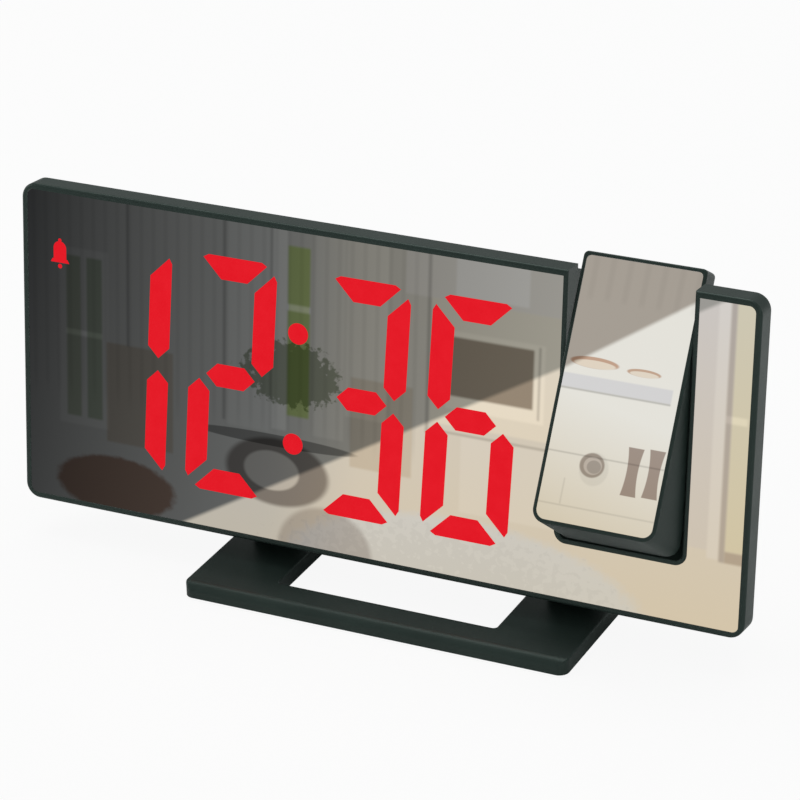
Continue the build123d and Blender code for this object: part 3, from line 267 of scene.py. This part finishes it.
# ---------------------------------------------------------------- signs over the buttons
# A dial, two arrows, a bell and a beam of light, pad-printed in pale grey on signs that are moulded a hair
# proud of the cover, one over each key. Each is drawn lying flat, and is then stood on the clock's back.
SIGN_SIZE = 0.0034
SIGN_LIFT = 0.0068
SIGN_PROUD = 0.0002
SIGN_SUNK = 0.00002
BELL_MIDDLE = 0.12 * SIGN_SIZE
BELL_RIM = -0.26 * SIGN_SIZE
ROUNDING = 1e-7
joint_axes = {joint["name"]: Vector(joint["axis"]) for joint in frame["joints"]}
clock_up = -joint_axes["battery_door_slide"]
clock_back = -joint_axes["button_mode_press"]
sign_print, tree, skin = shader("sign_print")
place = node(tree, "TexCoord").outputs["Object"]
ink = noise(tree, place, 1500.0, 4.0)
thin_ink, full_ink = (0.40, 0.41, 0.41), (0.58, 0.59, 0.59)
tree.links.new(between(tree, ink, thin_ink, full_ink, 0.35, 0.65), skin.inputs["Base Color"])
skin.inputs["Roughness"].default_value = 0.5
relief(tree, skin, ink, 0.15, 0.00005)


def reach(name, direction):
    """How far a piece reaches along a direction, at its near and its far end."""
    ends = [vertex.co.dot(direction) for vertex in pieces[name].data.vertices]
    return min(ends), max(ends)


def disc(radius, corners, middle=(0.0, 0.0), turn=0.0):
    """A flat face with so many corners, the first of them at its top, left open in edit mode."""
    bpy.ops.object.select_all(action="DESELECT")
    bpy.ops.mesh.primitive_circle_add(
        vertices=corners, radius=radius, fill_type="NGON", location=(*middle, 0.0), rotation=(0.0, 0.0, turn))
    bpy.ops.object.transform_apply(location=True, rotation=True, scale=False)
    bpy.ops.object.mode_set(mode="EDIT")


def choose(wanted):
    """Selects the corners of the open mesh that pass a test of their place."""
    bpy.ops.mesh.select_all(action="DESELECT")
    bpy.ops.object.mode_set(mode="OBJECT")
    for corner in bpy.context.object.data.vertices:
        corner.select = wanted(corner.co)
    bpy.ops.object.mode_set(mode="EDIT")


def close():
    """Leaves edit mode and gives back the flat piece that was drawn."""
    bpy.ops.object.mode_set(mode="OBJECT")
    return bpy.context.object


def bar(width, height, middle, turn=0.0):
    """A straight flat bar."""
    disc(width / math.sqrt(2), 4, turn=math.radians(45))
    bpy.ops.transform.resize(value=(1.0, height / width, 1.0), center_override=(0.0, 0.0, 0.0))
    bpy.ops.mesh.select_all(action="SELECT")
    bpy.ops.transform.rotate(value=turn, orient_axis="Z", center_override=(0.0, 0.0, 0.0))
    bpy.ops.transform.translate(value=(*middle, 0.0))
    return close()


def dial_sign():
    """A clock's dial: a ring and two hands."""
    disc(0.5 * SIGN_SIZE, 40)
    bpy.ops.mesh.inset(thickness=0.1 * SIGN_SIZE)
    bpy.ops.mesh.delete(type="ONLY_FACE")
    ring = close()
    minute_hand = bar(0.09 * SIGN_SIZE, 0.28 * SIGN_SIZE, (0.0, 0.14 * SIGN_SIZE))
    hour_hand = bar(0.2 * SIGN_SIZE, 0.09 * SIGN_SIZE, (0.15 * SIGN_SIZE, 0.0))
    return [ring, minute_hand, hour_hand]


def arrow_sign(turn=0.0, size=SIGN_SIZE):
    """A plain arrow head that points up, or down when turned by half a turn."""
    disc(0.56 * size, 3, turn=turn)
    return [close()]


def bell_sign():
    """A bell: a disc whose lower half is flattened to a wide rim, and a clapper under it."""
    disc(0.36 * SIGN_SIZE, 32, (0.0, BELL_MIDDLE))
    choose(lambda corner: corner.y < BELL_MIDDLE - ROUNDING)
    bpy.ops.transform.resize(value=(1.36, 0.0, 1.0), center_override=(0.0, BELL_RIM, 0.0))
    bell = close()
    disc(0.11 * SIGN_SIZE, 16, (0.0, -0.42 * SIGN_SIZE))
    return [bell, close()]


def beam_sign():
    """A lamp with three rays of light."""
    lamp = bar(0.22 * SIGN_SIZE, 0.3 * SIGN_SIZE, (-0.44 * SIGN_SIZE, 0.0))
    rays = [bar(0.62 * SIGN_SIZE, 0.1 * SIGN_SIZE, (0.12 * SIGN_SIZE, 0.26 * SIGN_SIZE * side),
                math.radians(-24 * side)) for side in (-1, 0, 1)]
    return [lamp, *rays]


def on_cover(sideways, height):
    """A place on the clock's back, so far across and so far up the clock."""
    return Vector((sideways, 0.0, 0.0)) + clock_up * height + clock_back * (cover_face - SIGN_SUNK)


def raise_sign(name, flats, spot, material, proud=SIGN_PROUD):
    """Joins flat pieces, gives them their height and stands them on the clock's back at a place on it."""
    bpy.ops.object.select_all(action="DESELECT")
    for flat in flats:
        flat.select_set(True)
    bpy.context.view_layer.objects.active = flats[0]
    if len(flats) > 1:
        bpy.ops.object.join()
    sign = bpy.context.object
    sign.name = name
    bpy.ops.object.mode_set(mode="EDIT")
    bpy.ops.mesh.select_all(action="SELECT")
    bpy.ops.mesh.extrude_region_move(TRANSFORM_OT_translate={"value": (0.0, 0.0, proud)})
    bpy.ops.mesh.select_all(action="SELECT")
    bpy.ops.mesh.normals_make_consistent(inside=False)
    bpy.ops.object.mode_set(mode="OBJECT")
    soft_edge = sign.modifiers.new("soft edge", "BEVEL")
    soft_edge.width = 0.3 * proud
    soft_edge.segments = 2
    bpy.ops.object.modifier_apply(modifier=soft_edge.name)
    turn = Matrix((Vector((-1.0, 0.0, 0.0)), clock_up, clock_back)).transposed().to_4x4()
    sign.matrix_world = Matrix.Translation(spot) @ turn
    bpy.ops.object.transform_apply(location=True, rotation=True, scale=True)
    sign.data.materials.append(material)
    return sign


cover_face = reach("rear_cover", clock_back)[1]
for name, draw in (("mode", dial_sign), ("up", arrow_sign), ("down", lambda: arrow_sign(math.pi)),
                   ("alarm", bell_sign), ("projector", beam_sign)):
    low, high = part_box("button_" + name)
    height = sum(reach("button_" + name, clock_up)) / 2 + SIGN_LIFT
    spot = on_cover((low.x + high.x) / 2, height)
    sign = raise_sign("sign_" + name, draw(), spot, sign_print)
    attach(sign, "clock")

# ---------------------------------------------------------------- arrow on the battery door
# A raised arrow over the thumb ribs, moulded with the door, that points the way the door slides off.
ARROW_SIZE = 0.0060
ARROW_UP = 0.0235
ARROW_PROUD = 0.0006
low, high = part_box("battery_door")
height = reach("battery_door", clock_up)[0] + ARROW_UP
spot = on_cover((low.x + high.x) / 2, height)
door_arrow = raise_sign("door_arrow", arrow_sign(math.pi, ARROW_SIZE), spot, case_plastic, ARROW_PROUD)
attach(door_arrow, "battery_door")

# ---------------------------------------------------------------- projector arm
# Its two shells are the case's satin ABS. Inside it carry the lens tube, the display and the lamp.
arm_plastic = moulded_plastic("arm_plastic", CASE_COLOUR, 0.34)
finish("projector_front_shell", arm_plastic)
finish("projector_rear_shell", arm_plastic)
for name in ("optics_tube", "condenser_holder", "lens_barrel"):
    finish(name, black_moulding)
focus_grip = moulded_plastic("focus_grip", (0.02, 0.02, 0.021), 0.4, 0.25)
finish("focus_ring", focus_grip)

# ---------------------------------------------------------------- lenses and image display
# Clear moulded acrylic lenses with a faint blue coating, and a small dark glass display.
lens_glass, tree, skin = shader("lens_glass")
place = node(tree, "TexCoord").outputs["Object"]
bloom = noise(tree, place, 240.0, 1.0)
tree.links.new(between(tree, bloom, (0.10, 0.13, 0.20), (0.16, 0.18, 0.26)), skin.inputs["Base Color"])
skin.inputs["Roughness"].default_value = 0.03
skin.inputs["IOR"].default_value = 1.49
skin.inputs["Transmission Weight"].default_value = 0.35
skin.inputs["Coat Weight"].default_value = 1.0
skin.inputs["Coat Tint"].default_value = (0.75, 0.8, 1.0, 1.0)
finish("projection_lens", lens_glass)
finish("condenser_lens", lens_glass)
dark_glass = moulded_plastic("dark_glass", (0.05, 0.06, 0.055), 0.12, 0.0)
finish("image_lcd", dark_glass)

# ---------------------------------------------------------------- floor, lights and camera
# A plain pale table top under soft light. The two mirrors look past it into a room that only they show, drawn
# on the world, with a bright and a shaded side. They don't show the arm and the band.
bodies = frame["record"]["behaviour"]["bodies"]
for name in ("front_frame", *bodies["projector"], *bodies["lens"], *bodies["focus_ring"]):
    pieces[name].visible_glossy = False
# the camera sees the floor as this share of plain white, and the rest as paint with soft shadows on it
FLOOR_PLAIN_WHITE = 0.92
FLOOR_SIZE = 6.0
bpy.ops.mesh.primitive_plane_add(size=FLOOR_SIZE)
floor = bpy.context.object
floor.name = "floor"
floor_paint, tree, skin = shader("floor_paint")
output = tree.nodes["Material Output"]
skin.inputs["Base Color"].default_value = (0.86, 0.86, 0.86, 1.0)
skin.inputs["Roughness"].default_value = 0.9
skin.inputs["Specular IOR Level"].default_value = 0.0
white = node(tree, "Emission", {"Color": (1.0, 1.0, 1.0, 1.0), "Strength": 1.0})
light_path = node(tree, "LightPath")
seen_directly = light_path.outputs["Is Camera Ray"]
share = node(tree, "Math", {0: seen_directly, 1: FLOOR_PLAIN_WHITE}, operation="MULTIPLY").outputs["Value"]
blend = node(tree, "MixShader", {"Fac": share})
tree.links.new(skin.outputs["BSDF"], blend.inputs[1])
tree.links.new(white.outputs["Emission"], blend.inputs[2])
unseen = node(tree, "BsdfTransparent")
whole = node(tree, "MixShader", {"Fac": light_path.outputs["Is Singular Ray"]})
tree.links.new(blend.outputs["Shader"], whole.inputs[1])
tree.links.new(unseen.outputs["BSDF"], whole.inputs[2])
tree.links.new(whole.outputs["Shader"], output.inputs["Surface"])
floor.data.materials.append(floor_paint)

world = bpy.data.worlds.new("studio")
bpy.context.scene.world = world
world.use_nodes = True
tree = world.node_tree
tree.nodes.clear()
way = node(tree, "TexCoord").outputs["Generated"]
way_parts = node(tree, "SeparateXYZ", {"Vector": way}).outputs


def along(direction):
    """How far the way of looking goes along a direction."""
    return node(tree, "VectorMath", {0: way, 1: direction}, operation="DOT_PRODUCT").outputs["Value"]


def ramp(value, start, end, course="SMOOTHSTEP"):
    """0 before the start, 1 after the end, and smooth between them, or straight if the course is LINEAR.
    The start may be the larger."""
    sockets = {"Value": value, "From Min": start, "From Max": end}
    return node(tree, "MapRange", sockets, interpolation_type=course).outputs["Result"]


EDGE_SOFTNESS = 0.0008


def beyond(edge):
    """1 on one side of a straight edge in the room and 0 on the other. The edge is square to a direction."""
    return ramp(along(edge), -EDGE_SOFTNESS, EDGE_SOFTNESS)


def mixed(factor, first, second):
    """The first colour where the factor is 0 and the second where it is 1."""
    return node(tree, "Mix", {"Factor": factor, 6: first, 7: second}, data_type="RGBA").outputs[2]


def combined(first, second, operation="MULTIPLY", third=0.0):
    """Arithmetic on values of the room, a product unless it says otherwise."""
    return node(tree, "Math", {0: first, 1: second, 2: third}, operation=operation).outputs["Value"]


def wall_measures(forward, upward, eye):
    """Places on the wall that a mirror faces, across and up it, in millimetres where the mirror shows them.
    The mirror's directions point out of its face and up it. The eye is so far across, up and out from it."""
    across, height, distance = eye
    depth = along(forward)
    sideways = combined(combined(way_parts["X"], depth, "DIVIDE"), distance, "MULTIPLY_ADD", across)
    rise = combined(combined(along(upward), depth, "DIVIDE"), distance, "MULTIPLY_ADD", height)
    return sideways, rise


def panel(colour, wall, box, tint, soft=0.5):
    """Tints an upright panel of the wall, box being its left, right, lower and upper edges."""
    left, right, lower, upper = box
    sides = combined(ramp(wall[0], left - soft, left + soft), ramp(wall[0], right + soft, right - soft))
    ends = combined(ramp(wall[1], lower - soft, lower + soft), ramp(wall[1], upper + soft, upper - soft))
    return tinted(colour, combined(sides, ends), tint)


OVAL_SOFTNESS = 0.08


def oval(colour, wall, place, radii, tint, rough=0.0):
    """Tints an oval patch of the wall, with a ragged edge if it is rough."""
    wide = combined(combined(wall[0], -place[0], "ADD"), 1.0 / radii[0])
    tall = combined(combined(wall[1], -place[1], "ADD"), 1.0 / radii[1])
    spread = combined(combined(wide, wide), combined(tall, tall), "ADD")
    if rough:
        point = node(tree, "CombineXYZ", {"X": wall[0], "Y": wall[1]}).outputs["Vector"]
        rag = noise(tree, point, 0.55, 4.0)
        spread = combined(combined(rag, rough), spread, "ADD")
        spread = combined(spread, -rough / 2, "ADD")
    return tinted(colour, ramp(spread, 1.0 + 2 * OVAL_SOFTNESS, 1.0 - 2 * OVAL_SOFTNESS), tint)


VASE_WAIST = 0.3
VASE_SIDE_SOFTNESS = 0.06
VASE_END_SOFTNESS = 0.02


def vase(colour, wall, place, radii, tint):
    """Tints a tall vase that narrows to a waist. The radii are half its width and half its height."""
    wide = combined(combined(combined(wall[0], -place[0], "ADD"), 1.0 / radii[0]), 0.0, "ABSOLUTE")
    tall = combined(combined(combined(wall[1], -place[1], "ADD"), 1.0 / radii[1]), 0.0, "ABSOLUTE")
    slim = combined(combined(combined(tall, tall), -VASE_WAIST), wide, "ADD")
    edge = 1.0 - VASE_WAIST
    sides = ramp(slim, edge + VASE_SIDE_SOFTNESS, edge - VASE_SIDE_SOFTNESS)
    ends = ramp(tall, 1.0 + VASE_END_SOFTNESS, 1.0 - VASE_END_SOFTNESS)
    return tinted(colour, combined(sides, ends), tint)


def tinted(colour, mask, tint):
    """Multiplies a colour by a tint where the mask is 1."""
    sockets = {"Factor": mask, 6: colour, 7: (*tint, 1.0)}
    return node(tree, "Mix", sockets, data_type="RGBA", blend_type="MULTIPLY").outputs[2]


def grey(level):
    """A tint that only darkens, or lightens when the level is above 1."""
    return (level, level, level)


# The big mirror looks down into the low room. The arm's mirror leans back further and looks up into the high
# room. Square to each of these directions lies the slanting edge between its room's bright and shaded sides.
LOW_SHADE_EDGE = (-0.49532, -0.02704, 0.86829)
HIGH_SHADE_EDGE = (-0.54744, 0.63653, 0.54327)

deep_shade, pale_shade = (0.034, 0.033, 0.031), (0.42, 0.40, 0.355)
shade_low = between(tree, ramp(way_parts["X"], -0.50, -0.33, "LINEAR"), deep_shade, pale_shade)
rise = ramp(way_parts["Z"], -0.30, -0.20, "LINEAR")
bright_low = mixed(rise, (0.80, 0.67, 0.49, 1.0), (0.76, 0.71, 0.66, 1.0))
low_room = mixed(beyond(LOW_SHADE_EDGE), bright_low, shade_low)

# the wall that the big mirror faces: window, curtains, a screen on a cabinet, chairs, a table, a rug, a door
BIG_MIRROR_OUT, BIG_MIRROR_UP = (0.0, -0.99415, 0.108), (0.0, 0.108, 0.99415)
BIG_MIRROR_EYE = (339.27, 324.99, 707.76)
FOLD_WAVE = 1.9
wall = wall_measures(BIG_MIRROR_OUT, BIG_MIRROR_UP, BIG_MIRROR_EYE)
low_room = tinted(low_room, ramp(wall[0], 0.0, -30.0), (0.78, 0.83, 0.92))
# painted shade: the curtains are darkened in waves where their folds would be in shade
fold_shade = combined(combined(wall[0], FOLD_WAVE), 0.0, "SINE")
fold_shade = combined(fold_shade, combined(ramp(wall[1], 26.0, 34.0), ramp(wall[0], 14.0, 12.0)))
low_room = tinted(low_room, combined(fold_shade, 0.5), grey(0.84))
# the thin grey strip beside the screen is a painted shadow, and the grey strip in the room's corner is painted
# shade
for box, tint in (
        ((-85.0, -71.2, 21.5, 66.8), grey(1.14)), ((-82.9, -78.9, 23.7, 64.8), (0.66, 0.72, 0.60)),
        ((-77.2, -73.0, 23.7, 64.8), (0.62, 0.70, 0.58)), ((-83.0, -73.0, 44.6, 46.0), grey(1.4)),
        ((-66.2, -65.4, 44.0, 82.0), grey(0.72)), ((-39.9, -39.1, 30.0, 82.0), grey(0.70)),
        ((-38.7, -27.4, 29.0, 82.0), grey(1.10)), ((-27.2, -26.6, 37.0, 82.0), grey(0.78)),
        ((-26.5, -22.6, 30.0, 82.0), grey(1.22)), ((-22.5, -16.7, 34.0, 76.3), (0.74, 0.92, 0.40)),
        ((-22.5, -16.7, 60.3, 61.9), (1.7, 1.5, 2.4)), ((-15.6, -7.5, 30.0, 82.0), grey(1.12)),
        ((-7.2, 3.7, 36.5, 82.0), grey(1.12)), ((13.7, 14.6, 36.0, 82.0), grey(0.70)),
        ((14.8, 47.5, 39.0, 69.5), (1.14, 1.12, 1.07)), ((18.8, 43.6, 43.1, 62.3), grey(1.10)),
        ((19.8, 40.8, 46.4, 60.9), (0.38, 0.34, 0.31)), ((42.0, 42.5, 44.0, 61.8), grey(0.6)),
        ((-71.8, -53.4, 18.6, 44.2), (0.86, 0.78, 0.70)), ((-5.7, 10.4, 24.0, 46.5), (0.88, 0.83, 0.77)),
        ((15.0, 48.5, 36.9, 37.4), grey(0.66)), ((23.0, 48.5, 17.9, 36.8), (1.05, 1.06, 1.08)),
        ((79.0, 84.9, 20.4, 82.0), (0.95, 0.96, 1.02)), ((84.9, 87.7, 18.5, 82.0), (1.04, 1.06, 1.12)),
        ((87.8, 89.2, 18.0, 82.0), (0.68, 0.66, 0.68)), ((89.2, 96.0, 20.8, 82.0), (0.98, 0.98, 0.86)),
        ((89.2, 96.0, 18.0, 20.8), (0.68, 0.63, 0.60)), ((87.9, 93.0, 51.6, 53.4), grey(1.18)),
        ((8.0, 47.5, 69.5, 82.0), (1.10, 1.10, 1.14)), ((20.8, 39.2, 70.8, 80.4), (1.12, 1.14, 1.18))):
    low_room = panel(low_room, wall, box, tint)
for place, radii, tint, rough in (
        ((-21.5, 44.5), (12.5, 8.0), (0.46, 0.50, 0.42), 2.4),
        ((-26.0, 27.0), (21.5, 1.5), grey(0.45), 0.0),
        ((-25.0, 19.0), (13.8, 8.6), (0.40, 0.37, 0.36), 0.0),
        ((-26.5, 19.2), (7.4, 5.0), (2.3, 2.4, 2.4), 0.0),
        ((-69.4, 7.2), (16.5, 7.6), (0.58, 0.40, 0.33), 0.3),
        ((24.0, -2.0), (46.0, 18.0), (0.94, 1.03, 1.20), 0.3),
        ((20.0, -2.0), (36.0, 13.0), grey(0.95), 7.0),
        ((-12.0, 1.0), (12.5, 11.0), (0.70, 0.67, 0.66), 0.0)):
    low_room = oval(low_room, wall, place, radii, tint, rough=rough)

rise = ramp(way_parts["Z"], 0.50, 0.53, "LINEAR")
bright_high = mixed(rise, (0.80, 0.70, 0.54, 1.0), (0.95, 0.92, 0.86, 1.0))
high_room = mixed(beyond(HIGH_SHADE_EDGE), bright_high, (0.46, 0.41, 0.36, 1.0))

# the wall that the arm's mirror faces: a shelf with two shallow bowls, and two vases and a bowl on a cabinet
ARM_MIRROR_OUT, ARM_MIRROR_UP = (0.0, -0.85806, 0.51354), (0.0, 0.51354, 0.85806)
ARM_MIRROR_EYE = (275.52, -17.54, 751.30)
BOARD_WAVE = 1.5
wall = wall_measures(ARM_MIRROR_OUT, ARM_MIRROR_UP, ARM_MIRROR_EYE)
boards = combined(combined(wall[0], BOARD_WAVE), 0.0, "SINE")
high_room = tinted(high_room, combined(combined(boards, ramp(wall[1], 51.0, 53.0)), 0.4), grey(0.86))
# the thin grey strip just under the shelf is the shelf's painted shadow
for box, tint in (
        ((-16.0, 12.5, 31.4, 34.6), (0.84, 0.85, 0.92)), ((-16.0, 12.5, 31.0, 31.4), grey(0.62)),
        ((-16.0, 16.0, 16.5, 16.8), grey(0.68)), ((-16.0, 16.0, 4.6, 4.9), grey(0.80)),
        ((-9.0, -8.7, 5.0, 11.0), grey(0.82))):
    high_room = panel(high_room, wall, box, tint, 0.25)
for place in ((6.7, 14.9), (11.8, 15.2)):
    high_room = vase(high_room, wall, place, (1.9, 5.5), (0.46, 0.39, 0.37))
for place, radii, tint in (
        ((-7.2, 37.7), (5.9, 1.3), (0.68, 0.46, 0.36)), ((-7.1, 37.35), (5.1, 0.9), (1.40, 1.85, 2.10)),
        ((4.9, 37.2), (4.1, 0.9), (0.68, 0.48, 0.38)), ((5.0, 36.95), (3.5, 0.62), (1.40, 1.80, 2.05)),
        ((-2.4, 14.0), (3.5, 3.8), grey(0.90)), ((-3.0, 14.8), (3.0, 2.8), (0.50, 0.45, 0.43)),
        ((-2.8, 14.7), (2.2, 2.0), (1.50, 1.55, 1.60)), ((-2.5, 14.5), (1.7, 1.5), grey(0.72))):
    high_room = oval(high_room, wall, place, radii, tint)

# where a ray meets the world, its depth counts as 2 after one reflection and as 3 after two
ONE_REFLECTION = 2.5
DAYLIGHT = 0.32
looking_up = ramp(way_parts["Z"], 0.0, 0.2)
room = mixed(looking_up, low_room, high_room)
light_path = node(tree, "LightPath")
mirrored = node(tree, "Background", {"Color": room, "Strength": 1.0})
daylight = node(tree, "Background", {"Color": (0.96, 1.0, 0.98, 1.0), "Strength": DAYLIGHT})
backdrop = node(tree, "Background", {"Color": (1.0, 1.0, 1.0, 1.0), "Strength": 1.0})
reflected_once = combined(light_path.outputs["Ray Depth"], ONE_REFLECTION, "LESS_THAN")
in_mirror = combined(light_path.outputs["Is Singular Ray"], reflected_once)
around = node(tree, "MixShader", {"Fac": in_mirror})
tree.links.new(daylight.outputs["Background"], around.inputs[1])
tree.links.new(mirrored.outputs["Background"], around.inputs[2])
whole = node(tree, "MixShader", {"Fac": light_path.outputs["Is Camera Ray"]})
tree.links.new(around.outputs["Shader"], whole.inputs[1])
tree.links.new(backdrop.outputs["Background"], whole.inputs[2])
sky = node(tree, "OutputWorld")
tree.links.new(whole.outputs["Shader"], sky.inputs["Surface"])


def soft_lamp(name, place, target, size, watts):
    """A square soft box at a place, pointed at a target."""
    bpy.ops.object.light_add(type="AREA", location=place)
    lamp = bpy.context.object
    lamp.name = name
    lamp.data.size = size
    lamp.data.energy = watts
    lamp.rotation_euler = (Vector(target) - Vector(place)).to_track_quat("-Z", "Y").to_euler()


soft_lamp("top_light", (-0.15, 0.25, 1.1), (0.0, 0.0, 0.05), 0.9, 5.6)
soft_lamp("right_light", (1.0, -0.1, 0.5), (0.05, 0.0, 0.05), 0.6, 0.75)
soft_lamp("left_light", (-1.1, -0.5, 0.5), (0.0, 0.0, 0.05), 0.7, 2.6)
soft_lamp("low_light", (0.75, -1.0, 0.16), (0.05, 0.0, 0.06), 0.5, 1.0)

CAMERA_BACK = Vector((0.39961011, -0.80997273, 0.42925043))
CAMERA_RIGHT = Vector((0.90180623, 0.43138562, -0.02553357))
CAMERA_UP = Vector((-0.16449097, 0.39730418, 0.90282451))
CAMERA_PLACE = Vector((0.33926834, -0.67626950, 0.40939161))
SENSOR_WIDTH = 36.0
FRAME_PIXELS = 800.0
FOCAL_PIXELS = 3556.0
NEAREST_SEEN = 0.01
bpy.ops.object.camera_add()
camera = bpy.context.object
camera_turn = Matrix((CAMERA_RIGHT, CAMERA_UP, CAMERA_BACK)).transposed()
camera.matrix_world = Matrix.Translation(CAMERA_PLACE) @ camera_turn.to_4x4()
camera.data.sensor_width = SENSOR_WIDTH
camera.data.lens = SENSOR_WIDTH * FOCAL_PIXELS / FRAME_PIXELS
camera.data.clip_start = NEAREST_SEEN
bpy.context.scene.camera = camera
bpy.context.scene.view_settings.view_transform = "Standard"
